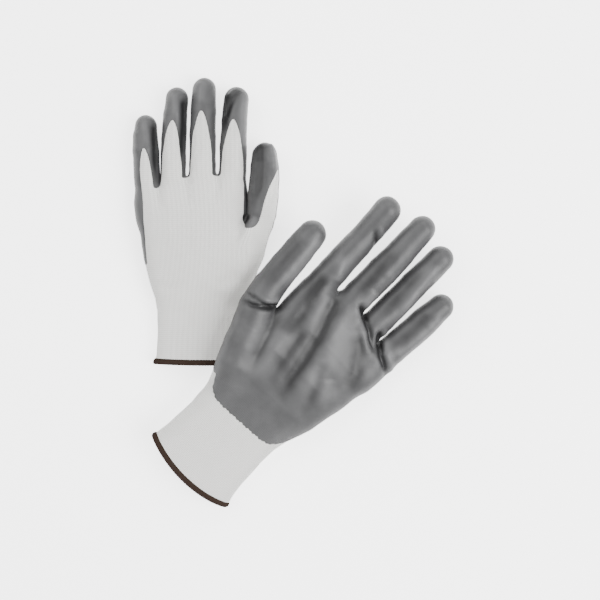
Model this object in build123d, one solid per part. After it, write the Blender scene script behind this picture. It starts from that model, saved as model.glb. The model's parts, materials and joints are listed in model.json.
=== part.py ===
from build123d import *
import math
import os

# Two palm-dipped knitted work gloves, both for the left hand, lying one across the other.
# The lower glove lies palm down. The upper glove lies palm up, its thumb edge over the lower wrist.
# All sizes are millimetres. Each glove is drawn in a frame of its own and placed at the end:
# X runs toward the thumb, Y runs from the hem toward the fingertips, Z comes out of the back.

os.makedirs("parts", exist_ok=True)

# Cloth and dip
LINER_WALL = 1.2
SKIN_GAP = 0.05
SKIN_WALL = 0.65
SKIN_OUTSIDE = SKIN_GAP + SKIN_WALL
REST_GAP = 0.3

# Half the width of the bare strip on a digit's back, as a share of the digit's radius at its root
TONGUE_SHARE = 0.66

# Hem: overlock thread wrapped over the raw edge of the cuff
HEM_DEPTH = 3.4
HEM_OVER_EDGE = 1.0
HEM_THREAD = 1.1

# Elastic yarn laid around the inside of the cuff
ELASTIC_WALL = 0.5
ELASTIC_FROM_HEM = 1.0
ELASTIC_FROM_WRIST = 4.0

# Bending creases of a digit
CREASE_GAP = 0.6
BEND_TOWARD_PALM = 75
BEND_TOWARD_BACK = 10
AXIS_TOWARD_PALM = 0.45
FAR = 160.0
TALL = 40.0


class Digit:
    """A finger or thumb: a tapered tube from a root inside the hand to a round tip."""

    def __init__(self, name, root, tip, root_radius, tip_radius, creases, tongue,
                 root_lift=0.0, tip_lift=0.0, window_turn=0.0):
        self.name = name
        self.root = root
        self.tip = tip
        self.root_radius = root_radius
        self.tip_radius = tip_radius
        self.creases = creases
        self.tongue = tongue
        self.root_lift = root_lift
        self.tip_lift = tip_lift
        self.window_turn = window_turn


class Glove:
    """One glove. side is 1 when it lies on its palm and -1 when it lies on its back."""

    def __init__(self, name, side, hem, wrist, hand, thumb_root, window, digits):
        self.name = name
        self.side = side
        self.hem = hem
        self.wrist = wrist
        self.hand = hand
        self.thumb_root = thumb_root
        self.window = window
        self.digits = digits


# Sections of hem, wrist and hand are (y, x on the little-finger side, x on the thumb side, thickness).
# A digit gives the plan positions of its root and of its very tip, and its radii there.
# creases are the heights y where it bends; tongue is how far the bare back stops short of the tip.
LOWER = Glove(
    name="lower",
    side=1,
    hem=(0.0, -32.5, 32.5, 15.0),
    wrist=(43.0, -32.0, 32.0, 16.5),
    hand=[
        (70.0, -38.5, 42.0, 23.0),
        (98.0, -45.0, 41.0, 26.0),
        (120.0, -48.0, 36.5, 24.0),
        (134.0, -47.5, 35.0, 18.0),
    ],
    thumb_root=((29.0, 74.0), (48.6, 116.0), 10.6, 11.0),
    window=[(-41.0, 66.0), (-44.0, 100.0), (-44.5, 128.0), (31.0, 136.0), (36.0, 104.0)],
    digits=[
        Digit("thumb", (47.6, 104.0), (49.4, 167.2), 10.4, 9.3, (121.0, 143.0), 24.0, window_turn=50),
        Digit("index", (24.6, 118.0), (28.6, 208.8), 9.9, 8.6, (149.0, 178.0), 26.4),
        Digit("middle", (2.0, 118.0), (3.8, 216.0), 9.6, 8.0, (149.0, 180.0), 26.0),
        Digit("ring", (-20.6, 115.0), (-16.8, 209.1), 9.4, 8.0, (147.0, 176.0), 26.7),
        Digit("little", (-40.2, 112.0), (-40.0, 187.8), 8.7, 7.9, (140.0, 162.0), 26.8),
    ],
)

UPPER = Glove(
    name="upper",
    side=-1,
    hem=(0.0, -37.0, 36.5, 16.0),
    wrist=(52.0, -33.0, 35.0, 17.5),
    hand=[
        (80.0, -41.5, 43.5, 25.0),
        (112.0, -48.0, 45.0, 29.0),
        (142.0, -53.0, 38.5, 27.0),
        (163.0, -53.5, 37.0, 20.0),
    ],
    thumb_root=((33.0, 86.0), (53.0, 134.0), 11.2, 11.6),
    window=[(-46.0, 80.0), (-50.0, 118.0), (-51.0, 156.0), (33.0, 165.0), (38.0, 124.0)],
    digits=[
        Digit("thumb", (50.4, 122.0), (57.0, 198.5), 11.0, 9.8, (141.0, 166.0), 28.0, 1.5, 3.0, 50),
        Digit("index", (28.0, 146.0), (27.6, 247.4), 9.8, 8.9, (181.0, 212.0), 31.0, 2.0, 6.0),
        Digit("middle", (0.9, 146.0), (0.5, 257.0), 10.4, 8.7, (181.0, 216.0), 31.0, 2.0, 7.0),
        Digit("ring", (-21.8, 146.0), (-23.2, 249.6), 9.7, 8.8, (180.0, 212.0), 31.5, 2.0, 6.0),
        Digit("little", (-42.2, 140.0), (-48.8, 222.9), 9.6, 7.8, (172.0, 196.0), 30.0, 1.5, 4.0),
    ],
)

# Where each glove lies: middle of its hem, turn of the fingers clockwise from Y, and roll about its length
LOWER_HEM_AT = (-77.1, -46.6)
UPPER_HEM_AT = (-80.0, -125.9)
UPPER_TURN = 43.7
UPPER_ROLL = 10.8


# ---- shapes shared by liner and dip ------------------------------------------------------------

def resting_height(glove, half_thickness, lift=0.0):
    """Height of a centre line so the tube it carries just clears the side the glove lies on."""
    return glove.side * (half_thickness + SKIN_OUTSIDE + REST_GAP + lift)


def oval(glove, section, grow, shift=0.0):
    """One oval cross-section of the hand or cuff, enlarged all round by grow."""
    y, little_x, thumb_x, thickness = section
    middle = ((little_x + thumb_x) / 2, y + shift, resting_height(glove, thickness / 2))
    plane = Plane(origin=middle, x_dir=(1, 0, 0), z_dir=(0, 1, 0))
    return plane * Ellipse((thumb_x - little_x) / 2 + grow, thickness / 2 + grow)


def round_cone(start, end, start_radius, end_radius):
    """Tapered rod from start to end with a ball on the far end."""
    axis = Vector(*end) - Vector(*start)
    plane = Plane(origin=start, z_dir=axis)
    rod = plane * Cone(start_radius, end_radius, axis.length, align=(Align.CENTER, Align.CENTER, Align.MIN))
    return rod + Pos(*end) * Sphere(end_radius)


def digit_ends(glove, digit):
    """Centres of the root section and of the ball that rounds the tip."""
    run = math.dist(digit.root, digit.tip)
    back = digit.tip_radius / run
    tip_x = digit.tip[0] + (digit.root[0] - digit.tip[0]) * back
    tip_y = digit.tip[1] + (digit.root[1] - digit.tip[1]) * back
    start = (*digit.root, resting_height(glove, digit.root_radius, digit.root_lift))
    end = (tip_x, tip_y, resting_height(glove, digit.tip_radius, digit.tip_lift))
    return start, end


def digit_solid(glove, digit, grow):
    start, end = digit_ends(glove, digit)
    return round_cone(start, end, digit.root_radius + grow, digit.tip_radius + grow)


def thumb_mound(glove, grow):
    """The swelling of the hand that carries the thumb."""
    (x0, y0), (x1, y1), r0, r1 = glove.thumb_root
    thumb = glove.digits[0]
    low = (x0, y0, resting_height(glove, r0, thumb.root_lift))
    high = (x1, y1, resting_height(glove, r1, thumb.root_lift))
    mound = Pos(*low) * Sphere(r0 + grow) + round_cone(low, high, r0 + grow, r1 + grow)
    return digit_length(glove, thumb, mound, "root")


def hand_body(glove, grow):
    """Palm and back of the hand from the wrist to the finger roots, with the thumb mound."""
    sections = [oval(glove, glove.wrist, grow)]
    sections += [oval(glove, section, grow) for section in glove.hand[:-1]]
    sections.append(oval(glove, glove.hand[-1], grow, shift=grow))
    return loft(sections) + thumb_mound(glove, grow)


# ---- creases -----------------------------------------------------------------------------------

def crease_frame(glove, digit, y):
    """Frame on a bending axis: x along the digit, y out of its back, z along the axis."""
    start, end = (Vector(*point) for point in digit_ends(glove, digit))
    along = (end - start).normalized()
    share = (y - start.Y) / (end.Y - start.Y)
    centre = start + (end - start) * share
    axis = along.cross(Vector(0, 0, 1)).normalized()
    back = axis.cross(along)
    radius = digit.root_radius + (digit.tip_radius - digit.root_radius) * share
    return Plane(origin=centre - back * (AXIS_TOWARD_PALM * radius), x_dir=along, z_dir=axis)


def crease_side(frame, beyond):
    """Everything on one side of a crease, cut back so the digit can bend both ways."""
    gap = CREASE_GAP / 2
    palm_edge = gap + TALL * math.tan(math.radians(BEND_TOWARD_PALM / 2))
    back_edge = gap + TALL * math.tan(math.radians(BEND_TOWARD_BACK / 2))
    points = [(gap, 0), (palm_edge, -TALL), (FAR, -TALL), (FAR, TALL), (back_edge, TALL)]
    if not beyond:
        points = [(-x, y) for x, y in reversed(points)]
    return extrude(frame * Polygon(*points, align=None), amount=TALL, both=True)


def digit_length(glove, digit, solid, part):
    """The root, base or tip length of a digit's solid."""
    lower, upper = (crease_frame(glove, digit, y) for y in digit.creases)
    if part == "root":
        return solid & crease_side(lower, False)
    if part == "base":
        return solid & crease_side(lower, True) & crease_side(upper, False)
    return solid & crease_side(upper, True)


# ---- liner -------------------------------------------------------------------------------------

def hand_outside(glove, grow):
    """The hand with the short roots of its digits up to their first crease."""
    solid = hand_body(glove, grow)
    for digit in glove.digits:
        solid += digit_length(glove, digit, digit_solid(glove, digit, grow), "root")
    return solid


def hand_liner(glove):
    inside = hand_body(glove, -LINER_WALL)
    for digit in glove.digits:
        inside += digit_solid(glove, digit, -LINER_WALL)
    return hand_outside(glove, 0.0) - inside


def wrist_cuff(glove):
    start = (HEM_OVER_EDGE, *glove.hem[1:])
    outside = loft([oval(glove, start, 0.0), oval(glove, glove.wrist, 0.0)], ruled=True)
    inside = loft([oval(glove, start, -LINER_WALL), oval(glove, glove.wrist, -LINER_WALL)], ruled=True)
    return outside - inside


def cuff_hem(glove):
    """A band of thread over the raw edge: outside the cuff, round its end and back up inside."""
    over = HEM_THREAD
    under = -LINER_WALL - HEM_THREAD
    band = extrude(oval(glove, glove.hem, over), amount=HEM_DEPTH)
    band -= extrude(oval(glove, glove.hem, under), amount=HEM_DEPTH)
    return band - wrist_cuff(glove)


def cuff_section(glove, y, grow):
    """Oval of the cuff at height y, between its hem and the wrist."""
    share = (y - HEM_OVER_EDGE) / (glove.wrist[0] - HEM_OVER_EDGE)
    sizes = [a + (b - a) * share for a, b in zip(glove.hem[1:], glove.wrist[1:])]
    return oval(glove, (y, *sizes), grow)


def cuff_elastic(glove):
    """The elastic yarns laid round the inside of the cuff, as one thin band."""
    first = HEM_DEPTH + ELASTIC_FROM_HEM
    last = glove.wrist[0] - ELASTIC_FROM_WRIST
    outer = -LINER_WALL - SKIN_GAP
    inner = outer - ELASTIC_WALL
    outside = loft([cuff_section(glove, y, outer) for y in (first, last)], ruled=True)
    inside = loft([cuff_section(glove, y, inner) for y in (first, last)], ruled=True)
    return outside - inside


def digit_liner(glove, digit, part):
    tube = digit_solid(glove, digit, 0.0) - digit_solid(glove, digit, -LINER_WALL)
    return digit_length(glove, digit, tube, part)


# ---- dip ---------------------------------------------------------------------------------------

def bare_tongue(glove, digit):
    """The strip on the back of a digit that the dip leaves bare, ending in a rounded arch."""
    start, end = (Vector(*point) for point in digit_ends(glove, digit))
    along = (end - start).normalized()
    side = along.cross(Vector(0, 0, 1)).normalized()
    back = side.cross(along)
    turn = math.radians(digit.window_turn)
    outward = back * math.cos(turn) + side * math.sin(turn)
    half = TONGUE_SHARE * digit.root_radius
    top = (end - start).length + digit.tip_radius - digit.tongue
    plane = Plane(origin=start, x_dir=along, z_dir=outward)
    strip = plane * (
        Pos(top - half, 0) * Circle(half)
        + Pos((top - half) / 2, 0) * Rectangle(top - half, 2 * half)
    )
    return extrude(strip, amount=TALL)


def bare_back(glove):
    """The back of the hand and the whole thumb edge, which the dip leaves bare."""
    low = glove.wrist[0] - HEM_DEPTH
    points = [(-FAR, low), (-FAR, glove.window[0][1]), *glove.window]
    points += [(FAR, glove.window[-1][1]), (FAR, low)]
    height = resting_height(glove, glove.hand[1][3] / 2)
    outline = Plane.XY.offset(height) * Polygon(*points, align=None)
    return extrude(outline, amount=TALL, dir=(0, 0, 1))


def palm_coating(glove):
    skin = hand_outside(glove, SKIN_OUTSIDE) - hand_outside(glove, SKIN_GAP)
    skin -= bare_back(glove)
    for digit in glove.digits:
        skin -= bare_tongue(glove, digit)
    return skin


def digit_coating(glove, digit, part):
    skin = digit_solid(glove, digit, SKIN_OUTSIDE) - digit_solid(glove, digit, SKIN_GAP)
    return digit_length(glove, digit, skin - bare_tongue(glove, digit), part)


# ---- assembly ----------------------------------------------------------------------------------

def glove_parts(glove):
    parts = {
        "hand_liner": hand_liner(glove),
        "wrist_cuff": wrist_cuff(glove),
        "cuff_hem": cuff_hem(glove),
        "cuff_elastic": cuff_elastic(glove),
        "palm_coating": palm_coating(glove),
    }
    for digit in glove.digits:
        for part in ("base", "tip"):
            parts[f"{digit.name}_{part}_liner"] = digit_liner(glove, digit, part)
            parts[f"{digit.name}_{part}_coating"] = digit_coating(glove, digit, part)
    return {f"{glove.name}_{name}": solid for name, solid in parts.items()}


def placements():
    lower = Pos(*LOWER_HEM_AT, 0)
    upper = Pos(*UPPER_HEM_AT, 0) * Rot(0, 0, -UPPER_TURN) * Rot(0, 180 + UPPER_ROLL, 0)
    return {"lower": lower, "upper": upper}


def assemble():
    """Every part in its place, the pair centred over the origin with its lowest point at Z = 0."""
    places = placements()
    parts = {}
    for glove in (LOWER, UPPER):
        placed = {name: places[glove.name] * solid for name, solid in glove_parts(glove).items()}
        floor = min(solid.bounding_box().min.Z for solid in placed.values())
        for name, solid in placed.items():
            parts[name] = Pos(0, 0, -floor) * solid
    boxes = [solid.bounding_box() for solid in parts.values()]
    middle_x = (min(b.min.X for b in boxes) + max(b.max.X for b in boxes)) / 2
    middle_y = (min(b.min.Y for b in boxes) + max(b.max.Y for b in boxes)) / 2
    return {name: Pos(-middle_x, -middle_y, 0) * solid for name, solid in parts.items()}


for part_name, part_solid in assemble().items():
    export_step(part_solid, f"parts/{part_name}.step")
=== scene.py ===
import json
import math
import bpy
import numpy as np
from mathutils import Matrix, Vector


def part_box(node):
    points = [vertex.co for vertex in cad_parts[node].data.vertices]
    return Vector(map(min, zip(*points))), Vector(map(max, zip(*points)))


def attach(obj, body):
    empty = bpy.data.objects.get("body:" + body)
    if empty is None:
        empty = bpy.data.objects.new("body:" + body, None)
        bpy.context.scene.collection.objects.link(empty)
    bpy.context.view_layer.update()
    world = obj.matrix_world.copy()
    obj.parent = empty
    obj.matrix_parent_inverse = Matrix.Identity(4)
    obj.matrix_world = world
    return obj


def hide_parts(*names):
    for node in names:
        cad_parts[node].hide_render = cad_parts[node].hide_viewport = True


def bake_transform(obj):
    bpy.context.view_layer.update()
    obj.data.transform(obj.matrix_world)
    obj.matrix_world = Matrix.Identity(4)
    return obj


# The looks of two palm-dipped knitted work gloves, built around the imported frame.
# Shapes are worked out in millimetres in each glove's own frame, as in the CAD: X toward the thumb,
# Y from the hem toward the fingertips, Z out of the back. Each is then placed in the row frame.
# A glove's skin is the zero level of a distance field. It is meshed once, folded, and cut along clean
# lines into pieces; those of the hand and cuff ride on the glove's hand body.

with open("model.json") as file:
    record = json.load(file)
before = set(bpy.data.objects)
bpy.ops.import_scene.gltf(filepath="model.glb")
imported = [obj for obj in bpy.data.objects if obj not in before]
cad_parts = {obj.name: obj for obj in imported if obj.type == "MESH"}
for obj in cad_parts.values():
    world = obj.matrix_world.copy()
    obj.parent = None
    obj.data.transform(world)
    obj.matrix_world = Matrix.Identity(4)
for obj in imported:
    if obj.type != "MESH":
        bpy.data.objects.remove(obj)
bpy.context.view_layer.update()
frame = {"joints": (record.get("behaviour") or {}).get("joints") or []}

MM = 0.001
GRID = 1.0   # cell of the net that finds the skin
GRID_MARGIN = 3.0                       # room round the skin inside the net
GRID_HEADROOM = 2                       # room above and below it
CHUNK = 400000                          # points of the net worked out at once
SNAP = 0.02                             # a point this near a cut counts as on it

# Skins and their fabric
KNIT_WALL = 1.1
DIP_WALL = 0.5
DIP_SINK = 0.12                         # how far the dip's inside lies in the knit
DIP_EDGE = 1.1                          # width over which the dip thins out at its edge
CUFF_SHORT = 3.0                        # the cuff's piece ends this far short of the dip's start
WALE = 1.9                              # width of a column of stitches
COURSE = 1.5                            # height of a row of stitches
WEAVE_FADE = 45.0                       # the weave shows through the dip this far up from the wrist
SIDE_FROM = 0.7                         # share of half the width past which the knit wraps round the side
SIDE_RUN = 0.3

# The oval of the hand, and how its parts run into each other
REST_GAP = 1.0                          # room under the resting side of the knit
OVAL_POWER = 2.3
END_SLOPE = 0.97
END_ROUND = 9.0
ROD_BLEND = 0.6
FINGER_BLEND = 6.0
THUMB_BLEND = 9.0
CROTCH_BLEND = 1.0                      # the thumb's blend close to its crotch
CROTCH_RISE = 8.0                       # the crotch lies this far above the foot of thumb_bare
CROTCH_FADE = 14.0

# Where the dip ends
WINDOW_LIFT = 0.4                       # how far the bare back runs past the finger roots
TONGUE_POWER = 0.62
TONGUE_FOOT = 12.0                      # a tongue starts this far below its foot, to join the bare back
TONGUE_ROUND = 2.5
CORNER_ROUND = 4.0
WRIST_POWER = 8
THUMB_POWER = 0.6
RAGGED = ((0.35, 1.9, 0.0), (0.3, 0.83, 1.0))   # waves of the dip's wrist edge: size, pace, start

# Folds and rumples
FOLD_START = 0.15                       # share of a fold's length over which it deepens
FOLD_END = 0.42                         # share over which it runs out
FOLD_LEAST = 0.06
RIDGE_AWAY = 1.7                        # distance of the ridge from its fold, in fold widths
RIDGE_WIDTH = 1.15                      # width of the ridge, in fold widths
WIDE_RUMPLE = 0.26
CLOSE_RUMPLE = 0.09
FACING = 0.6                            # how squarely a face must lie uppermost to be folded in full
CALM_CUFF = 8.0                         # the cuff is not rumpled up to here
CALM_FADE = 30.0

# Hem, elastic and creases
HEM_BACK = 1.7                          # the point of the glove that falls on the middle of the CAD hem
HEM_MIDDLE = -0.2
HEM_REACH = 0.5                         # the knit starts this far up from the cuff's edge line
HEM_STITCHES = 120
HEM_BULGE = 0.18
HEM_SLANT = 0.6
HEM_UP = 0.55                           # how far up from that line the band's middle lies, in band depths
HEM_STEPS = 1440
HEM_RING = 14
BAND_FROM = 2.0                         # the section whose width spreads the points of a band
BAND_TURN = 30                          # millimetres of knit pattern in a radian of a band
ELASTIC_FROM = 6.0
ELASTIC_SHORT = 12.0                    # how far the sleeve's length falls short of the wrist's height
ELASTIC_OUT = 0.9
ELASTIC_IN = 1.5
ELASTIC_RIDGE = 0.15
ELASTIC_STEPS = 96
ELASTIC_RING = 40
BEND_REACH = 7.0                        # a digit's pieces start this far before its base crease, and the ends worked out at each crease lie this far to either side
THUMB_REACH = 0.75                      # the thumb's share of it

# Tone of the dip, from 0 for dark to 1 for pale
BASE_TONE = 0.17
CLOUD_TONE = 0.4
WEAVE_TONE = 0.30
FOLD_PAINTED_SHADING = 0.34                        # painted shade and highlight: tone added for each millimetre that a fold raises the skin, so folds are darker and ridges paler

# Camera and floor
CAMERA_AT = (0.0062, -0.0086)           # metres, as are the other sizes here
CAMERA_UP = 0.613
CAMERA_LENS = 47.2
CAMERA_SENSOR = 36
FLOOR_SIZE = 4.0

# What a glove's entries say:
# side        1 with the back uppermost, -1 with the palm uppermost
# turn, roll  degrees about the row's Z and about the glove's own Y
# raise       how far the glove is lifted from where the CAD hem puts it
# hand        sections (y, x on the little-finger side, x on the thumb side, thickness)
# end         the line (x, y) along the finger roots where the hand's oval stops
# digits      points (x, y, lift off the resting side, radius)
# tongues     bare tongues (y of the foot, y of the top, share of the radius, shift toward the thumb)
# thumb_bare  bare patch outside the thumb (y of its foot, y of its point, degrees round from the back)
# arch        (x, y) of the corner past which the dip covers the thumb side of the back
# strip       the dip's edge (y, x) along the little-finger side
# back_edge   how far above the middle of the thickness the dip reaches round the sides
# dip         (y where the dip starts above the cuff, how much higher it starts at the sides)
# hem         (y of the middle of the cuff's edge, its rise toward both sides, its tilt toward the thumb,
#             half thickness and half depth of the band of thread)
# folds       (depth, width, height of the ridge beside it, its points). The ridge lies to the left of the
#             way the points run when it is positive and to the right when negative. A negative depth is
#             a ridge alone.
LOWER = {
    "name": "lower", "side": 1, "turn": 0.0, "roll": 0.0, "raise": -0.3,
    "hand": [(-4, -35.8, 34.2, 13.0), (4, -33.4, 33.0, 13.1), (20, -32.3, 32.2, 14.5),
             (38, -32.2, 32.2, 16.5), (48, -34.0, 33.6, 18.5), (62, -38.0, 37.0, 21.5),
             (76, -41.3, 39.0, 24.0), (95, -43.6, 39.0, 26.0), (105, -45.2, 36.6, 26.0),
             (112, -46.4, 35.8, 25.5), (128, -48.4, 35.2, 22.0), (142, -49.0, 35.2, 19.0)],
    "end": [(-50, 126), (-30.5, 130.7), (-9, 139.2), (14, 140.4), (38, 133)],
    "digits": {
        "thumb": [(26, 58, 0, 9.5), (33, 71, 1, 11.2), (38.5, 84, 2, 11.6), (42.4, 98, 3, 11.2),
                  (46.5, 106, 3, 10.4), (47.8, 112, 3, 10.8), (49.0, 126, 3, 11.3), (49.8, 138, 2, 11.0),
                  (50.1, 148, 2, 10.3), (50.0, 157, 1, 9.3)],
        "index": [(24.6, 112, 1, 10.0), (25.6, 145, 0, 10.1), (26.0, 163, 0, 10.0), (26.6, 182, 0, 9.3),
                  (28.1, 199.6, 0, 9.2)],
        "middle": [(2.0, 112, 2, 9.8), (2.5, 150, 0, 9.7), (2.5, 172, 0, 9.6), (2.9, 190, 0, 9.3),
                   (3.6, 207.4, 0, 8.6)],
        "ring": [(-20.4, 112, 2, 9.5), (-20.0, 150, 0, 9.2), (-19.6, 170, 0, 9.2), (-18.6, 188, 0, 8.7),
                 (-17.3, 200.7, 0, 8.1)],
        "little": [(-37.0, 108, 1, 9.2), (-39.4, 136, 0, 9.5), (-40.9, 160, 0, 9.6), (-41.3, 172, 0, 8.9),
                   (-41.1, 179.4, 0, 8.1)],
    },
    "tongues": {"index": (136, 183, 0.86, 0.0), "middle": (142, 189.5, 0.86, -0.3),
                "ring": (137, 182.5, 0.86, -0.4), "little": (128, 161, 0.52, 0.4)},
    "thumb_bare": (100.0, 146.0, 85.0),
    "arch": (34.6, 100.0),
    "strip": [(60, -60.0), (74, -38.7), (97, -39.9), (120, -40.8), (135, -42.7), (144, -43.6), (152, -44.3)],
    "back_edge": 0.0,
    "dip": (43.5, 8.0),
    "hem": (-2.4, 0.6, -0.4, 1.6, 2.25),
    "folds": [
        (1.0, 3.6, 0.5, [(-31, 131), (-29, 122), (-26, 110)]),
        (1.0, 3.6, 0.5, [(-9, 139), (-9, 129), (-7, 116)]),
        (1.0, 3.6, 0.5, [(14, 141), (13, 131), (11, 118)]),
        (1.5, 3.4, 0.7, [(38, 112), (33, 101), (27, 90)]),
        (0.8, 3.6, 0.4, [(-36, 60), (-20, 55), (-6, 57)]),
        (0.7, 3.6, 0.4, [(30, 66), (18, 60), (6, 62)]),
        (-0.7, 5.0, 0.0, [(-24, 100), (-14, 84), (-2, 74)]),
        (1.2, 3.4, 0.0, [(18, 184), (24, 194), (32, 206), (36, 212)]),
        (-1.2, 3.0, 0.0, [(36, 208), (34, 192), (33, 176), (33, 160)]),
        (1.4, 4.0, 0.0, [(22, 212), (22, 200), (20, 184), (19, 170)]),
        (-0.9, 2.6, 0.0, [(-19, 204), (-17, 190), (-16, 178)]),
        (1.4, 2.8, 0.0, [(-11, 202), (-11, 182), (-12, 162), (-13, 144)]),
        (-0.8, 3.0, 0.0, [(3, 212), (2, 200), (3, 192)]),
        (-0.8, 2.4, 0.0, [(-42, 184), (-39, 170), (-38, 158)]),
        (1.4, 2.6, 0.0, [(-34, 182), (-33, 164), (-32, 146), (-32, 132)]),
        (-1.4, 1.6, 0.0, [(54, 166), (57, 154), (58, 142)]),
        (1.7, 4.2, 0.0, [(46, 168), (47, 150), (46, 132), (41, 112)]),
    ],
}
UPPER = {
    "name": "upper", "side": -1, "turn": 43.7, "roll": 10.8, "raise": 1.6,
    "hand": [(-13, -37.5, 41.2, 16.0), (-4, -37.8, 41.2, 16.0), (3, -36.0, 40.4, 16.0),
             (12, -34.9, 39.0, 16.3), (36, -34.2, 37.8, 17.0), (50, -34.4, 38.6, 18.0),
             (64, -37.4, 41.0, 21.5), (80, -42.5, 45.0, 25.0), (107, -48.3, 46.0, 28.0),
             (135, -52.8, 39.8, 28.0), (155, -54.8, 39.0, 25.0), (172, -56.6, 39.2, 20.5)],
    "end": [(-60, 157), (-32.6, 162.8), (-11, 169.3), (14.4, 170.2), (38, 161)],
    "digits": {
        "thumb": [(30, 68, 2, 10.8), (36, 80, 2, 12.6), (41.8, 94, 1.5, 13.0), (46.9, 108, 1.5, 13.2),
                  (52.9, 121, 2, 13.0), (56.5, 138, 2, 11.8), (58.0, 157, 2, 11.1), (59.1, 172, 2, 10.8),
                  (59.9, 187.6, 3, 10.0)],
        "index": [(28.2, 138, 2, 10.8), (29.4, 180, 2, 10.7), (30.2, 205, 3, 10.1), (30.4, 216, 4, 9.6),
                  (32.6, 238.4, 8, 9.9)],
        "middle": [(1.6, 138, 2, 11.4), (2.6, 180, 2, 10.9), (2.4, 205, 4, 11.2), (2.6, 224, 6, 10.4),
                   (3.8, 247.2, 9, 9.5)],
        "ring": [(-21.2, 138, 2, 10.6), (-22.6, 180, 2, 10.4), (-22.8, 214, 4, 10.1), (-22.8, 241.2, 8, 9.5)],
        "little": [(-42.4, 134, 2, 10.4), (-46.0, 168, 2, 10.6), (-48.6, 200, 3.5, 10.4),
                   (-49.8, 216.8, 6, 9.1)],
    },
    "tongues": {"index": (170, 216, 0.88, 0.0), "middle": (170, 225, 0.88, 0.0),
                "ring": (168, 217, 0.88, 0.0), "little": (160, 192, 0.66, -0.8)},
    "thumb_bare": (119.0, 174.0, 60.0),
    "arch": (37.0, 120.0),
    "strip": [(72, -70.0), (86, -42.0), (113, -45.0), (140, -48.0), (159, -49.0)],
    "back_edge": 5.0,
    "dip": (49.5, 15.0),
    "hem": (-11.7, 6.8, 2.0, 1.8, 2.3),
    "folds": [
        (1.9, 5.6, 0.0, [(17, 171), (12, 157), (8, 144), (5, 130), (2, 114), (-1, 98), (-9, 76)]),
        (-1.0, 7.5, 0.0, [(2, 162), (-6, 142), (-12, 124), (-14, 104), (-17, 84)]),
        (0.9, 4.6, 0.0, [(-8, 126), (-16, 112), (-24, 96), (-28, 84)]),
        (-0.7, 5.4, 0.0, [(-20, 118), (-28, 108), (-33, 96)]),
        (1.3, 6.5, 0.0, [(-14, 160), (-26, 147), (-36, 132), (-42, 116)]),
        (1.2, 5.6, 0.0, [(34, 174), (30, 155), (26, 138), (23, 120)]),
        (-0.7, 4.1, 0.0, [(20, 166), (19, 150), (17, 132)]),
        (0.8, 4.0, 0.0, [(17, 134), (15, 118), (12, 100), (9, 84)]),
        (-1.0, 5.0, 0.0, [(28, 124), (25, 108), (22, 92), (19, 78)]),
        (0.9, 4.2, 0.0, [(38, 130), (34, 112), (29, 95), (25, 80)]),
        (-0.5, 4.6, 0.0, [(46, 110), (42, 98), (37, 86)]),
        (2.2, 2.6, 0.9, [(1, 176), (-9, 171), (-20, 165), (-31, 158), (-38, 154)]),
        (2.6, 2.6, -1.1, [(-25, 172), (-33, 165), (-40, 158), (-54, 151), (-64, 147)]),
        (2.6, 2.4, 0.9, [(40, 134.5), (46, 127.5), (58, 120), (68, 117)]),
        (1.8, 1.8, 0.0, [(43, 131.5), (51, 127), (62, 124.5), (72, 124)]),
        (-1.2, 6.2, 0.0, [(54, 190), (51, 172), (50, 154), (47, 142)]),
        (0.9, 4.6, 0.0, [(64, 182), (63, 166), (62, 148), (58, 132)]),
        (1.2, 2.4, 0.7, [(19, 214), (24, 218), (32, 222)]),
        (-0.8, 3.6, 0.0, [(23, 174), (28, 183), (37, 194)]),
        (-1.1, 4.1, 0.0, [(-2, 190), (-4, 181), (-6, 171)]),
        (0.9, 4.4, 0.0, [(8, 222), (7, 204), (6, 188), (4, 172)]),
        (-1.1, 3.5, 0.0, [(-22, 236), (-25, 212), (-30, 190), (-31, 176)]),
        (0.8, 4.0, 0.0, [(-17, 226), (-18, 208), (-19, 192), (-20, 174)]),
        (-1.0, 4.6, 0.0, [(-54, 212), (-55, 196), (-53, 178), (-50, 160)]),
        (0.8, 4.2, 0.0, [(-44, 208), (-45, 192), (-44, 176), (-40, 164)]),
    ],
}


# ---- numbers along a curve -----------------------------------------------------------------------

def smooth_step(t):
    t = np.clip(t, 0.0, 1.0)
    return t * t * (3 - 2 * t)


def along_sections(glove, y):
    """Half width, half thickness and middle (x and z) of the hand's oval at each height y."""
    table = np.array(glove["hand"], float)
    little_x, thumb_x, thickness = (np.interp(y, table[:, 0], table[:, column]) for column in (1, 2, 3))
    half = thickness / 2
    return (thumb_x - little_x) / 2, half, (thumb_x + little_x) / 2, glove["side"] * (half + REST_GAP)


def digit_points(glove, name):
    """Centres and radii of a digit, with each centre's z worked out from its lift."""
    rows = np.array(glove["digits"][name], float)
    heights = glove["side"] * (rows[:, 3] + REST_GAP + rows[:, 2])
    return np.column_stack([rows[:, 0], rows[:, 1], heights]), rows[:, 3]


# ---- distance fields -----------------------------------------------------------------------------

def smooth_union(a, b, width):
    share = np.clip(0.5 + 0.5 * (b - a) / width, 0, 1)
    return b + (a - b) * share - width * share * (1 - share)


def rod_distance(p, centres, radii):
    """Distance to a chain of tapered rods."""
    best = np.full(len(p), 1e3)
    for a, b, ra, rb in zip(centres[:-1], centres[1:], radii[:-1], radii[1:]):
        run = b - a
        t = np.clip((p - a) @ run / (run @ run), 0, 1)
        d = np.sqrt(((p - a - t[:, None] * run) ** 2).sum(1)) - (ra + (rb - ra) * t)
        best = smooth_union(best, d, ROD_BLEND)
    return best


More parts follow.
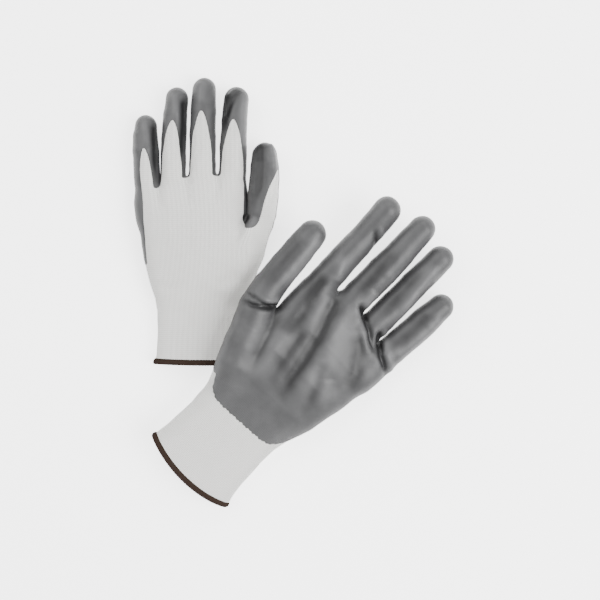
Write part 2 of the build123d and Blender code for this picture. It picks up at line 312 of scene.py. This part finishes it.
def hand_distance(glove, p):
    """Distance to the oval body of the hand, closed off along the finger roots."""
    half_width, half_height, mid_x, mid_z = along_sections(glove, p[:, 1])
    dx = np.abs(p[:, 0] - mid_x)
    dz = np.abs(p[:, 2] - mid_z)
    u = (dx / half_width) ** OVAL_POWER + (dz / half_height) ** OVAL_POWER
    scale = u ** (1 / OVAL_POWER)
    slope_x = (dx / half_width) ** (OVAL_POWER - 1) / half_width
    slope_z = (dz / half_height) ** (OVAL_POWER - 1) / half_height
    slope = np.sqrt(slope_x ** 2 + slope_z ** 2) / np.maximum(u, 1e-6) ** (1 - 1 / OVAL_POWER)
    side = (scale - 1) / np.maximum(slope, 1e-3)
    end_line = np.array(glove["end"], float)
    end = (p[:, 1] - np.interp(p[:, 0], end_line[:, 0], end_line[:, 1])) * END_SLOPE
    return -smooth_union(-side, -end, END_ROUND)


def glove_distance(glove, p):
    """Distance to the outside of the knit. The fingers stay apart from each other but run into the hand."""
    body = hand_distance(glove, p)
    fingers = np.full(len(p), 1e3)
    for name in ("index", "middle", "ring", "little"):
        near = rod_distance(p, *digit_points(glove, name))
        fingers = np.minimum(fingers, near)
    body = smooth_union(body, fingers, FINGER_BLEND)
    thumb = rod_distance(p, *digit_points(glove, "thumb"))
    crotch = glove["thumb_bare"][0] + CROTCH_RISE
    near_crotch = smooth_step((p[:, 1] - crotch + CROTCH_FADE) / CROTCH_FADE)
    return smooth_union(body, thumb, THUMB_BLEND - (THUMB_BLEND - CROTCH_BLEND) * near_crotch)


def field_slope(field, p, step=0.05):
    slope = np.zeros_like(p)
    for axis in range(3):
        shift = np.zeros(3)
        shift[axis] = step
        slope[:, axis] = (field(p + shift) - field(p - shift)) / (2 * step)
    return slope


# ---- surface of a field --------------------------------------------------------------------------

def net_surface(field, low, high, step):
    """Quad mesh on the zero level of a field, one point in each cell that the surface crosses."""
    axes = [np.arange(a, b + step, step) for a, b in zip(low, high)]
    shape = tuple(len(a) for a in axes)
    mesh = np.meshgrid(*axes, indexing="ij")
    flat = np.column_stack([m.ravel() for m in mesh])
    parts = np.array_split(flat, max(1, len(flat) // CHUNK))
    values = np.concatenate([field(part) for part in parts]).reshape(shape)
    inside = values < 0
    sums = np.zeros((values.size, 3))
    counts = np.zeros(values.size)
    quads = []
    strides = (shape[1] * shape[2], shape[2], 1)
    for axis in range(3):
        first = [slice(None)] * 3
        second = [slice(None)] * 3
        first[axis] = slice(0, -1)
        second[axis] = slice(1, None)
        cross = inside[tuple(first)] != inside[tuple(second)]
        at = np.argwhere(cross)
        others = [a for a in range(3) if a != axis]
        keep = (at[:, others[0]] > 0) & (at[:, others[1]] > 0)
        at = at[keep]
        start = values[tuple(at.T)]
        ahead = at.copy()
        ahead[:, axis] += 1
        stop = values[tuple(ahead.T)]
        point = at.astype(float)
        point[:, axis] += start / (start - stop)
        base = at @ np.array(strides)
        corners = []
        for i, j in ((0, 0), (1, 0), (1, 1), (0, 1)):
            cell = base - i * strides[others[0]] - j * strides[others[1]]
            corners.append(cell)
            for c in range(3):
                sums[:, c] += np.bincount(cell, point[:, c], values.size)
            counts += np.bincount(cell, minlength=values.size)
        quad = np.column_stack(corners)
        flip = (start < 0) == (axis == 1)
        quad[flip] = quad[flip][:, ::-1]
        quads.append(quad)
    quads = np.concatenate(quads)
    used, faces = np.unique(quads, return_inverse=True)
    faces = faces.reshape(quads.shape)
    points = sums[used] / counts[used, None] * step + np.array(low)
    return points, faces


def settle_on(field, points, rounds=3):
    """Moves points down the field's slope onto its zero level."""
    for _ in range(rounds):
        slope = field_slope(field, points)
        size = (slope ** 2).sum(1)
        points = points - np.clip(field(points) / np.maximum(size, 0.05), -1, 1)[:, None] * slope
    return points


def point_normals(points, triangles):
    a, b, c = (points[triangles[:, i]] for i in range(3))
    across = np.cross(b - a, c - a)
    normals = np.zeros_like(points)
    for i in range(3):
        for axis in range(3):
            normals[:, axis] += np.bincount(triangles[:, i], across[:, axis], len(points))
    return normals / np.maximum(np.linalg.norm(normals, axis=1), 1e-9)[:, None]


# ---- cutting a mesh along a line -----------------------------------------------------------------

class Skin:
    """Triangles with numbers kept at every point: place, normal, knit coordinates, dip and relief."""

    def __init__(self, data, triangles):
        self.data = data
        self.triangles = triangles

    def cut(self, values, keep_above=True):
        """The part of the skin where values are positive, cut cleanly along their zero line."""
        values = np.where(np.abs(values) < SNAP, 0.0, values) * (1 if keep_above else -1)
        tri = self.triangles
        sign = values[tri]
        whole = (sign >= 0).all(1) & (sign > 0).any(1)
        mixed = (sign > 0).any(1) & (sign < 0).any(1)
        tri_mixed = tri[mixed]
        sides = [tri_mixed[:, pair] for pair in ([0, 1], [1, 2], [2, 0])]
        edges = np.unique(np.sort(np.concatenate(sides), axis=1), axis=0)
        edges = edges[values[edges[:, 0]] * values[edges[:, 1]] < 0]
        share = values[edges[:, 0]] / (values[edges[:, 0]] - values[edges[:, 1]])
        fresh = self.data[edges[:, 0]] * (1 - share[:, None]) + self.data[edges[:, 1]] * share[:, None]
        count = len(self.data)
        index = {(a, b): count + i for i, (a, b) in enumerate(edges.tolist())}
        made = []
        for corner in tri_mixed.tolist():
            ring = []
            for i in range(3):
                a, b = corner[i], corner[(i + 1) % 3]
                if values[a] >= 0:
                    ring.append(a)
                if values[a] * values[b] < 0:
                    ring.append(index[(a, b) if a < b else (b, a)])
            for i in range(1, len(ring) - 1):
                made.append((ring[0], ring[i], ring[i + 1]))
        triangles = np.concatenate([tri[whole], np.array(made, int).reshape(-1, 3)])
        return Skin(np.concatenate([self.data, fresh]), triangles).tidy()

    def tidy(self):
        used, triangles = np.unique(self.triangles, return_inverse=True)
        return Skin(self.data[used], triangles.reshape(-1, 3))


# Columns of a skin's data
PLACE = slice(0, 3)
NORMAL = slice(3, 6)
KNIT = slice(6, 9)
DIP = 9
RELIEF = 10


def closed_shell(outer, inner, triangles):
    """Joins an outside and an inside surface round their open edges."""
    count = len(outer)
    edges = np.concatenate([triangles[:, [0, 1]], triangles[:, [1, 2]], triangles[:, [2, 0]]])
    keys = {tuple(e) for e in edges.tolist()}
    rim = np.array([e for e in edges.tolist() if (e[1], e[0]) not in keys], int).reshape(-1, 2)
    walls = np.column_stack([rim[:, 1], rim[:, 0], rim[:, 0] + count, rim[:, 1] + count])
    return np.concatenate([outer, inner]), triangles, triangles[:, ::-1] + count, walls


# ---- Blender objects -----------------------------------------------------------------------------

def new_object(name, points, faces, material, place, knit, normals=None, relief=None):
    """A smooth mesh in the row frame from points in the glove's frame, with its knit coordinates."""
    mesh = bpy.data.meshes.new(name)
    world = np.array(place)
    spots = (points * MM) @ world[:3, :3].T + world[:3, 3]
    mesh.from_pydata(spots.tolist(), [], faces)
    mesh.polygons.foreach_set("use_smooth", [True] * len(mesh.polygons))
    layer = mesh.attributes.new("knit", "FLOAT_VECTOR", "POINT")
    layer.data.foreach_set("vector", np.ascontiguousarray(knit, np.float32).ravel())
    # the fold height, which the grey dip's colour uses for painted shade in folds and painted highlight on
    # ridges
    if relief is not None:
        layer = mesh.attributes.new("relief", "FLOAT", "POINT")
        layer.data.foreach_set("value", np.ascontiguousarray(relief, np.float32))
    mesh.update()
    if normals is not None:
        mesh.normals_split_custom_set_from_vertices((normals @ world[:3, :3].T).tolist())
    mesh.materials.append(material)
    made = bpy.data.objects.new(name, mesh)
    bpy.context.scene.collection.objects.link(made)
    return made


def shell_object(name, skin, lift, sink, material, place):
    """A closed skin: outside raised by lift along the normals, inside sunk by sink."""
    spots, normals, knit = (skin.data[:, part] for part in (PLACE, NORMAL, KNIT))
    normals = normals / np.maximum(np.linalg.norm(normals, axis=1), 1e-9)[:, None]
    outer = spots + normals * np.asarray(lift)[:, None]
    inner = spots - normals * sink
    points, front, back, walls = closed_shell(outer, inner, skin.triangles)
    faces = front.tolist() + back.tolist() + walls.tolist()
    return new_object(name, points, faces, material, place, np.concatenate([knit, knit]),
                      np.concatenate([normals, -normals]), np.tile(skin.data[:, RELIEF], 2))


# ---- materials -----------------------------------------------------------------------------------

class Nodes:
    """A small helper for writing a material's nodes in order."""

    def __init__(self, name):
        self.material = bpy.data.materials.new(name)
        self.material.use_nodes = True
        self.tree = self.material.node_tree
        self.shader = self.tree.nodes["Principled BSDF"]

    def add(self, kind, **settings):
        node = self.tree.nodes.new(kind)
        for key, value in settings.items():
            setattr(node, key, value)
        return node

    def feed(self, socket, value):
        if isinstance(value, (int, float, tuple)):
            socket.default_value = value
        else:
            self.tree.links.new(value, socket)

    def math(self, operation, a, b=0.0, c=None):
        node = self.add("ShaderNodeMath", operation=operation)
        self.feed(node.inputs[0], a)
        self.feed(node.inputs[1], b)
        if c is not None:
            self.feed(node.inputs[2], c)
        return node.outputs[0]

    def mix(self, share, a, b):
        node = self.add("ShaderNodeMix", data_type="RGBA")
        self.feed(node.inputs["Factor"], share)
        self.feed(node.inputs[6], a)
        self.feed(node.inputs[7], b)
        return node.outputs[2]

    def noise(self, vector, scale, detail=2.0):
        node = self.add("ShaderNodeTexNoise")
        self.feed(node.inputs["Vector"], vector)
        self.feed(node.inputs["Scale"], scale)
        self.feed(node.inputs["Detail"], detail)
        return node.outputs["Fac"]

    def knit(self):
        """Height of plain knit stitches, from about 0 to 1, with the wales running along the glove.

        Also gives the knit coordinates and how much of the weave shows through the dip."""
        place = self.add("ShaderNodeAttribute", attribute_name="knit")
        split = self.add("ShaderNodeSeparateXYZ")
        self.feed(split.inputs[0], place.outputs["Vector"])
        across = self.math("MULTIPLY", split.outputs[0], 1 / WALE)
        wale = self.math("PINGPONG", across, 0.5)
        slant = self.math("MULTIPLY", wale, 1.1)
        along = self.math("MULTIPLY_ADD", split.outputs[1], 1 / COURSE, slant)
        loop = self.math("SINE", self.math("MULTIPLY", along, 2 * math.pi))
        ridge = self.math("SINE", self.math("MULTIPLY", wale, 2 * math.pi))
        height = self.math("MULTIPLY_ADD", loop, 0.18, ridge)
        return self.math("MULTIPLY", height, 0.8), place.outputs["Vector"], split.outputs[2]

    def bump(self, height, distance, strength=1.0):
        node = self.add("ShaderNodeBump")
        self.feed(node.inputs["Height"], height)
        self.feed(node.inputs["Distance"], distance)
        self.feed(node.inputs["Strength"], strength)
        return node.outputs[0]


def knit_material():
    n = Nodes("white_knit")
    # painted shade: the hollows between the stitches are coloured darker than the stitch crowns
    shaded_hollow = (0.44, 0.435, 0.415, 1)
    crown = (0.88, 0.875, 0.85, 1)
    height = n.knit()[0]
    n.feed(n.shader.inputs["Base Color"], n.mix(height, shaded_hollow, crown))
    n.feed(n.shader.inputs["Roughness"], 0.85)
    n.feed(n.shader.inputs["Sheen Weight"], 0.25)
    n.feed(n.shader.inputs["Specular IOR Level"], 0.2)
    n.feed(n.shader.inputs["Normal"], n.bump(height, distance=0.0006, strength=0.9))
    return n.material


def dip_material():
    """Satin grey with painted highlight on the ridges and painted shade in the folds, and the weave showing
    near the wrist.
    """
    n = Nodes("grey_nitrile")
    dark = (0.010, 0.010, 0.0105, 1)
    pale = (0.105, 0.105, 0.107, 1)
    height, place, shows = n.knit()
    cloudy = n.noise(place, scale=0.06, detail=3.0)
    relief = n.add("ShaderNodeAttribute", attribute_name="relief").outputs["Fac"]
    near_wrist = n.math("MULTIPLY_ADD", shows, 0.9, 0.1)
    weave = n.math("MULTIPLY", height, near_wrist)
    mottled = n.math("MULTIPLY_ADD", weave, WEAVE_TONE, n.math("MULTIPLY_ADD", cloudy, CLOUD_TONE, BASE_TONE))
    # painted shade and highlight: the fold height darkens the folds and pales the ridges
    raised = n.math("MULTIPLY_ADD", relief, FOLD_PAINTED_SHADING, mottled)
    n.feed(n.shader.inputs["Base Color"], n.mix(raised, dark, pale))
    n.feed(n.shader.inputs["Roughness"], 0.44)
    n.feed(n.shader.inputs["Specular IOR Level"], 0.32)
    grain = n.noise(place, scale=1.6)
    rough = n.math("MULTIPLY_ADD", grain, 0.35, weave)
    n.feed(n.shader.inputs["Normal"], n.bump(rough, distance=0.00022, strength=0.6))
    return n.material


def thread_material():
    n = Nodes("brown_overlock")
    dark = (0.010, 0.006, 0.004, 1)
    pale = (0.030, 0.018, 0.013, 1)
    place = n.add("ShaderNodeAttribute", attribute_name="knit").outputs["Vector"]
    n.feed(n.shader.inputs["Base Color"], n.mix(n.noise(place, scale=1.5), dark, pale))
    n.feed(n.shader.inputs["Roughness"], 0.9)
    n.feed(n.shader.inputs["Specular IOR Level"], 0.12)
    return n.material


def elastic_material():
    n = Nodes("elastic_yarn")
    n.feed(n.shader.inputs["Base Color"], (0.74, 0.73, 0.7, 1))
    n.feed(n.shader.inputs["Roughness"], 0.7)
    return n.material


# ---- one glove -----------------------------------------------------------------------------------

def glove_place(glove):
    """Glove frame to row frame, so that the middle of the hem falls on the CAD hem's."""
    low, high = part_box(glove["name"] + "_cuff_hem")
    middle = (low + high) / 2
    turn = Matrix.Rotation(math.radians(-glove["turn"]), 4, "Z")
    if glove["side"] < 0:
        turn = turn @ Matrix.Rotation(math.radians(180 + glove["roll"]), 4, "Y")
    mid_z = along_sections(glove, np.array([HEM_BACK]))[3]
    local = Vector((HEM_MIDDLE, HEM_BACK, mid_z[0])) * MM
    middle.z += glove["raise"] * MM
    return Matrix.Translation(middle - turn @ local) @ turn


def hem_line(glove, x):
    """Height of the cuff's edge at x; its middle bows out toward the wrist."""
    half_width, _, mid_x, _ = along_sections(glove, np.array([0.0]))
    base, bow, tilt = glove["hem"][:3]
    share = np.clip((x - mid_x[0]) / half_width[0], -1.2, 1.2)
    return base + bow * share ** 2 + tilt * share


def bare_hand(glove, p):
    """Positive where the back, the tongues and the cuff are bare knit."""
    x, y = p[:, 0], p[:, 1]
    half_width, _, mid_x, mid_z = along_sections(glove, y)
    back = p[:, 2] - mid_z
    strip = np.array(glove["strip"], float)
    end_line = np.array(glove["end"], float)
    window = np.interp(x, end_line[:, 0], end_line[:, 1]) + WINDOW_LIFT - y
    for name, (foot, top, share, shift) in glove["tongues"].items():
        centres, radii = digit_points(glove, name)
        middle = np.interp(y, centres[:, 1], centres[:, 0]) + shift
        radius = np.interp(y, centres[:, 1], radii)
        t = np.clip((y - foot) / (top - foot), 0, 2)
        left = 1 - t ** 2
        tongue = radius * share * np.sign(left) * np.abs(left) ** TONGUE_POWER - np.abs(x - middle)
        window = -smooth_union(-window, -np.minimum(tongue, y - (foot - TONGUE_FOOT)), TONGUE_ROUND)
    window = np.minimum(window, x - np.interp(y, strip[:, 0], strip[:, 1]))
    arch_x, arch_y = glove["arch"]
    window = np.minimum(window, -smooth_union(x - arch_x, y - arch_y, CORNER_ROUND))
    bare = np.minimum(window, back - glove["back_edge"])
    wrist, rise = glove["dip"]
    ragged = sum(size * np.sin(x * pace + start) for size, pace, start in RAGGED)
    edge = wrist + rise * np.clip(np.abs(x - mid_x) / half_width, 0, 1) ** WRIST_POWER + ragged
    return np.maximum(bare, edge - y)


def bare_thumb(glove, p):
    """Positive in the bare patch outside the thumb, which narrows to a point."""
    x, y = p[:, 0], p[:, 1]
    foot, top, outer = glove["thumb_bare"]
    centres, radii = digit_points(glove, "thumb")
    middle = np.column_stack([np.interp(y, centres[:, 1], centres[:, i]) for i in (0, 2)])
    radius = np.interp(y, centres[:, 1], radii)
    around = np.degrees(np.arctan2(x - middle[:, 0], p[:, 2] - middle[:, 1]))
    t = np.clip((y - foot) / (top - foot), 0, 1)
    inner = outer - outer * (1 - t ** 2) ** THUMB_POWER
    return np.minimum(around - inner, outer - around) * np.radians(radius)


# ---- folds ---------------------------------------------------------------------------------------

def along_line(x, y, spots):
    """Distance from a line of points, positive to its left, and the share of the way along it."""
    spots = np.array(spots, float)
    lengths = np.hypot(*np.diff(spots, axis=0).T)
    best = np.full(len(x), 1e3)
    signed = np.full(len(x), 1e3)
    share = np.zeros(len(x))
    before = 0.0
    for (ax, ay), (bx, by), length in zip(spots[:-1], spots[1:], lengths):
        run_x, run_y = (bx - ax) / length, (by - ay) / length
        t = np.clip((x - ax) * run_x + (y - ay) * run_y, 0, length)
        off_x, off_y = x - ax - t * run_x, y - ay - t * run_y
        distance = np.hypot(off_x, off_y)
        nearer = distance < best
        best = np.where(nearer, distance, best)
        signed = np.where(nearer, distance * np.sign(run_x * off_y - run_y * off_x + 1e-9), signed)
        share = np.where(nearer, (before + t) / lengths.sum(), share)
        before += length
    return signed, share


def fold_height(glove, p):
    """How far the folds raise or sink the side of the glove that lies uppermost."""
    height = np.zeros(len(p))
    for depth, width, ridge, spots in glove["folds"]:
        signed, share = along_line(p[:, 0], p[:, 1], spots)
        fade = smooth_step(np.minimum(share / FOLD_START, (1 - share) / FOLD_END) + FOLD_LEAST)
        beside = (signed - math.copysign(RIDGE_AWAY * width, ridge)) / (RIDGE_WIDTH * width)
        height -= depth * fade * np.exp(-(signed / width) ** 2)
        height += abs(ridge) * fade * np.exp(-beside ** 2)
    return height


def rumple(p, seed):
    """The slight unevenness of cloth that lies loose."""
    x, y, z = p.T
    wide = np.sin(0.19 * x + 0.11 * y + seed) * np.sin(0.14 * y - 0.08 * x + 0.12 * z + 2 * seed)
    close = np.sin(0.41 * x - 0.27 * y + 3 * seed) * np.sin(0.33 * y + 0.22 * x + 0.3 * z)
    return WIDE_RUMPLE * wide + CLOSE_RUMPLE * close


def fold_skin(glove, points, normals):
    """The points with folds and rumples, and the height of the folds at each."""
    facing = smooth_step(glove["side"] * normals[:, 2] / FACING)
    loose = smooth_step((points[:, 1] - CALM_CUFF) / CALM_FADE)
    relief = facing * fold_height(glove, points)
    height = relief + loose * rumple(points, glove["turn"] + 1.0)
    return points + normals * height[:, None], relief


def knit_coordinates(glove, p):
    """Millimetres across and along the knit, and how much of the weave shows through the dip."""
    half_width, half_height, mid_x, mid_z = along_sections(glove, p[:, 1])
    side = smooth_step((np.abs(p[:, 0] - mid_x) / half_width - SIDE_FROM) / SIDE_RUN)
    wrap = np.sign(p[:, 0] - mid_x) * side * np.maximum(half_height - np.abs(p[:, 2] - mid_z), 0)
    wrist = glove["dip"][0]
    shows = 1 - smooth_step((p[:, 1] - wrist) / WEAVE_FADE)
    return np.column_stack([p[:, 0] + wrap, p[:, 1], shows])


def whole_skin(glove):
    """The outside of the knitted liner, open at the hem, with everything kept per point."""
    table = np.array(glove["hand"], float)
    tips = [digit_points(glove, name) for name in glove["digits"]]
    xs = [x for c, r in tips for x in (c[:, 0] - r).tolist() + (c[:, 0] + r).tolist()]
    ys = [y for c, r in tips for y in (c[:, 1] + r).tolist()]
    zs = [z for c, r in tips for z in (c[:, 2] - r).tolist() + (c[:, 2] + r).tolist()]
    thick = table[:, 3].max() + REST_GAP + GRID_HEADROOM
    zs += [0, glove["side"] * thick]
    left = min(xs + table[:, 1].tolist())
    low = (left - GRID_MARGIN, table[0, 0] - GRID_MARGIN, min(zs) - GRID_HEADROOM)
    high = (max(xs) + GRID_MARGIN, max(ys) + GRID_MARGIN, max(zs) + GRID_HEADROOM)

    def field(p):
        return glove_distance(glove, p)

    points, quads = net_surface(field, low, high, GRID)
    points = settle_on(field, points)
    triangles = np.concatenate([quads[:, [0, 1, 2]], quads[:, [0, 2, 3]]])
    normals = point_normals(points, triangles)
    slope = field_slope(field, points[:50])
    if (normals[:50] * slope).sum() < 0:
        triangles = triangles[:, ::-1]
        normals = -normals
    dip = smooth_union(-bare_hand(glove, points), -bare_thumb(glove, points), CORNER_ROUND)
    knit = knit_coordinates(glove, points)
    points, relief = fold_skin(glove, points, normals)
    normals = point_normals(points, triangles)
    skin = Skin(np.column_stack([points, normals, knit, dip, relief]), triangles)
    place = skin.data[:, PLACE]
    return skin.cut(place[:, 1] - hem_line(glove, place[:, 0]) - HEM_REACH)


def crease_axes(glove, place):
    """For each digit, where its two creases are and which way it points, in the glove's own frame."""
    back = place.inverted()
    found = {}
    for digit in glove["digits"]:
        spots = {}
        for joint in frame["joints"]:
            for part in ("base", "tip"):
                if joint["name"] == f"{glove['name']}_{digit}_{part}_bend":
                    spots[part] = np.array(back @ Vector(joint["pos_m"])) / MM
        along = spots["tip"] - spots["base"]
        found[digit] = (spots["base"], spots["tip"], along / np.linalg.norm(along))
    return found


def beside_digit(glove, name, p):
    """How far points lie to the side of a digit's outline, seen square to the hand."""
    centres, radii = digit_points(glove, name)
    middle = np.interp(p[:, 1], centres[:, 1], centres[:, 0])
    return np.abs(p[:, 0] - middle) - np.interp(p[:, 1], centres[:, 1], radii)


def bend_reach(digit):
    return BEND_REACH * THUMB_REACH if digit == "thumb" else BEND_REACH


def split_digits(glove, skin, creases):
    """Cuts the skin into the hand and, for each digit, its base and tip lengths."""
    pieces = {}
    rest = skin
    for digit, (base, tip, along) in creases.items():
        p = rest.data[:, PLACE]
        reach = (p - base) @ along + bend_reach(digit)
        others = [beside_digit(glove, name, p) for name in creases if name != digit]
        nearer = np.min(others, axis=0) - beside_digit(glove, digit, p)
        field = np.minimum(reach, nearer)
        own = rest.cut(field)
        rest = rest.cut(field, keep_above=False)
        middle = (own.data[:, PLACE] - (base + tip) / 2) @ along
        pieces[digit + "_base"] = own.cut(middle, keep_above=False)
        pieces[digit + "_tip"] = own.cut(middle)
    return rest, pieces


def bend_between(obj, place, spot, along, reach):
    """Bakes a piece's placement into its mesh and works out the two ends of the length on either side of the
    crease; the piece is not blended from one body to the next.
    """
    start, end = (place @ Vector((spot + along * s) * MM) for s in (-reach, reach))
    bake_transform(obj)
    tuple(start)
    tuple(end)


def band_object(name, glove, place, profile, material, steps):
    """A band that follows the cuff's oval. profile(turn) gives rings of (outward, along) offsets."""
    turn = np.linspace(0, 2 * math.pi, steps, endpoint=False)
    half_width, _, mid_x, _ = along_sections(glove, np.array([BAND_FROM]))
    power = 2 / OVAL_POWER
    cos, sin = np.cos(turn), np.sin(turn)
    ox = np.sign(cos) * np.abs(cos) ** power
    oz = np.sign(sin) * np.abs(sin) ** power
    rows = []
    knit = []
    for out, up in profile(turn):
        y = hem_line(glove, mid_x[0] + half_width[0] * ox) + up
        w, h, mx, mz = along_sections(glove, y)
        rows.append(np.column_stack([mx + (w + out) * ox, y, mz + (h + out) * oz]))
        knit.append(np.column_stack([turn * BAND_TURN, y, out]))
    count = len(rows)
    points = np.concatenate(rows)
    faces = []
    for i in range(count):
        for k in range(steps):
            a, b = i * steps + k, i * steps + (k + 1) % steps
            c, d = ((i + 1) % count) * steps + (k + 1) % steps, ((i + 1) % count) * steps + k
            faces.append((a, b, c, d))
    return new_object(name, points, faces, material, place, np.concatenate(knit))


def hem_profile(glove):
    """Overlock thread wrapped over the edge: slanted stitches bulging along a rounded band."""
    thick, deep = glove["hem"][3:]

    def rings(turn):
        for i in range(HEM_RING):
            angle = 2 * math.pi * i / HEM_RING
            bulge = HEM_BULGE * np.abs(np.sin(turn * HEM_STITCHES / 2 + angle * HEM_SLANT))
            out = (thick + bulge) * math.cos(angle) - KNIT_WALL / 2
            up = (deep + bulge) * math.sin(angle) + deep * HEM_UP
            yield out, up
    return rings


def elastic_profile(glove):
    """A thin sleeve inside the cuff, its outside ridged by the yarn."""
    reach = glove["dip"][0] - ELASTIC_SHORT

    def rings(turn):
        level = np.ones(len(turn))
        ups = [ELASTIC_FROM + reach * i / (ELASTIC_RING - 1) for i in range(ELASTIC_RING)]
        for i, up in enumerate(ups):
            yield level * (-KNIT_WALL - ELASTIC_OUT - ELASTIC_RIDGE * (i % 2)), level * up
        for up in reversed(ups):
            yield level * (-KNIT_WALL - ELASTIC_IN), level * up
    return rings


def slot_of(key):
    if key.endswith("coating"):
        return "coating_grey"
    return {"cuff_hem": "hem_brown", "cuff_elastic": "elastic_yarn"}.get(key, "knit_white")


def build_glove(glove, knit, dip, thread, elastic):
    name = glove["name"]
    place = glove_place(glove)
    creases = crease_axes(glove, place)
    skin = whole_skin(glove)
    hand, digits = split_digits(glove, skin, creases)
    wrist = glove["dip"][0]
    past_cuff = hand.data[:, 1] - wrist + CUFF_SHORT
    parts = {"hand_liner": hand.cut(past_cuff),
             "wrist_cuff": hand.cut(past_cuff, keep_above=False)}
    dips = {"palm_coating": hand.cut(hand.data[:, DIP])}
    for key, piece in digits.items():
        parts[key + "_liner"] = piece
        dips[key + "_coating"] = piece.cut(piece.data[:, DIP])
    objects = {}
    for key, piece in parts.items():
        flat = np.zeros(len(piece.data))
        objects[key] = shell_object(f"{name}_{key}_look", piece, flat, KNIT_WALL, knit, place)
    for key, piece in dips.items():
        lift = DIP_WALL * np.sqrt(smooth_step(piece.data[:, DIP] / DIP_EDGE))
        objects[key] = shell_object(f"{name}_{key}_look", piece, lift, DIP_SINK, dip, place)
    for key, profile, material, steps in (("cuff_hem", hem_profile, thread, HEM_STEPS),
                                          ("cuff_elastic", elastic_profile, elastic, ELASTIC_STEPS)):
        objects[key] = band_object(f"{name}_{key}_look", glove, place, profile(glove), material, steps)
    for key, made in objects.items():
        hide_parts(f"{name}_{key}")
        digit = key.split("_")[0]
        if digit in creases:
            base, tip, along = creases[digit]
            reach = bend_reach(digit)
            if "_base_" in key:
                bend_between(made, place, base, along, reach)
            else:
                bend_between(made, place, tip, along, reach)
        else:
            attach(made, f"{name}_hand")
        slot_of(key)


# ---- floor, light and camera ---------------------------------------------------------------------

def build_floor():
    mesh = bpy.data.meshes.new("floor")
    corners = [(x * FLOOR_SIZE, y * FLOOR_SIZE, 0) for x, y in ((-1, -1), (1, -1), (1, 1), (-1, 1))]
    mesh.from_pydata(corners, [], [(0, 1, 2, 3)])
    floor = bpy.data.objects.new("floor", mesh)
    bpy.context.scene.collection.objects.link(floor)
    n = Nodes("floor")
    n.feed(n.shader.inputs["Base Color"], (0.95, 0.95, 0.95, 1))
    n.feed(n.shader.inputs["Roughness"], 0.9)
    n.feed(n.shader.inputs["Specular IOR Level"], 0.1)
    n.feed(n.shader.inputs["Emission Color"], (1, 1, 1, 1))
    n.feed(n.shader.inputs["Emission Strength"], 2.2)
    mesh.materials.append(n.material)


def area_light(name, spot, size, power):
    """A rectangle of light that looks at the middle of the row."""
    light = bpy.data.lights.new(name, "AREA")
    light.shape = "RECTANGLE"
    light.size, light.size_y = size
    light.energy = power
    made = bpy.data.objects.new(name, light)
    made.location = spot
    made.rotation_mode = "QUATERNION"
    made.rotation_quaternion = (-Vector(spot)).to_track_quat("-Z", "Y")
    bpy.context.scene.collection.objects.link(made)


def build_light():
    area_light("key", spot=(1.0, -0.35, 1.15), size=(1.1, 1.1), power=46)
    area_light("fill", spot=(-1.1, 0.8, 1.3), size=(1.4, 1.4), power=27)
    area_light("top", spot=(0.3, 1.2, 1.0), size=(0.9, 0.6), power=9)
    world = bpy.data.worlds.new("studio")
    world.use_nodes = True
    background = world.node_tree.nodes["Background"]
    background.inputs["Color"].default_value = (1, 1, 1, 1)
    background.inputs["Strength"].default_value = 1.1
    bpy.context.scene.world = world


def build_camera():
    camera = bpy.data.cameras.new("camera")
    camera.sensor_width = CAMERA_SENSOR
    camera.lens = CAMERA_LENS
    made = bpy.data.objects.new("camera", camera)
    made.location = (CAMERA_AT[0], CAMERA_AT[1], CAMERA_UP)
    bpy.context.scene.collection.objects.link(made)
    bpy.context.scene.camera = made


materials = (knit_material(), dip_material(), thread_material(), elastic_material())
for glove in (LOWER, UPPER):
    build_glove(glove, *materials)
build_floor()
build_light()
build_camera()
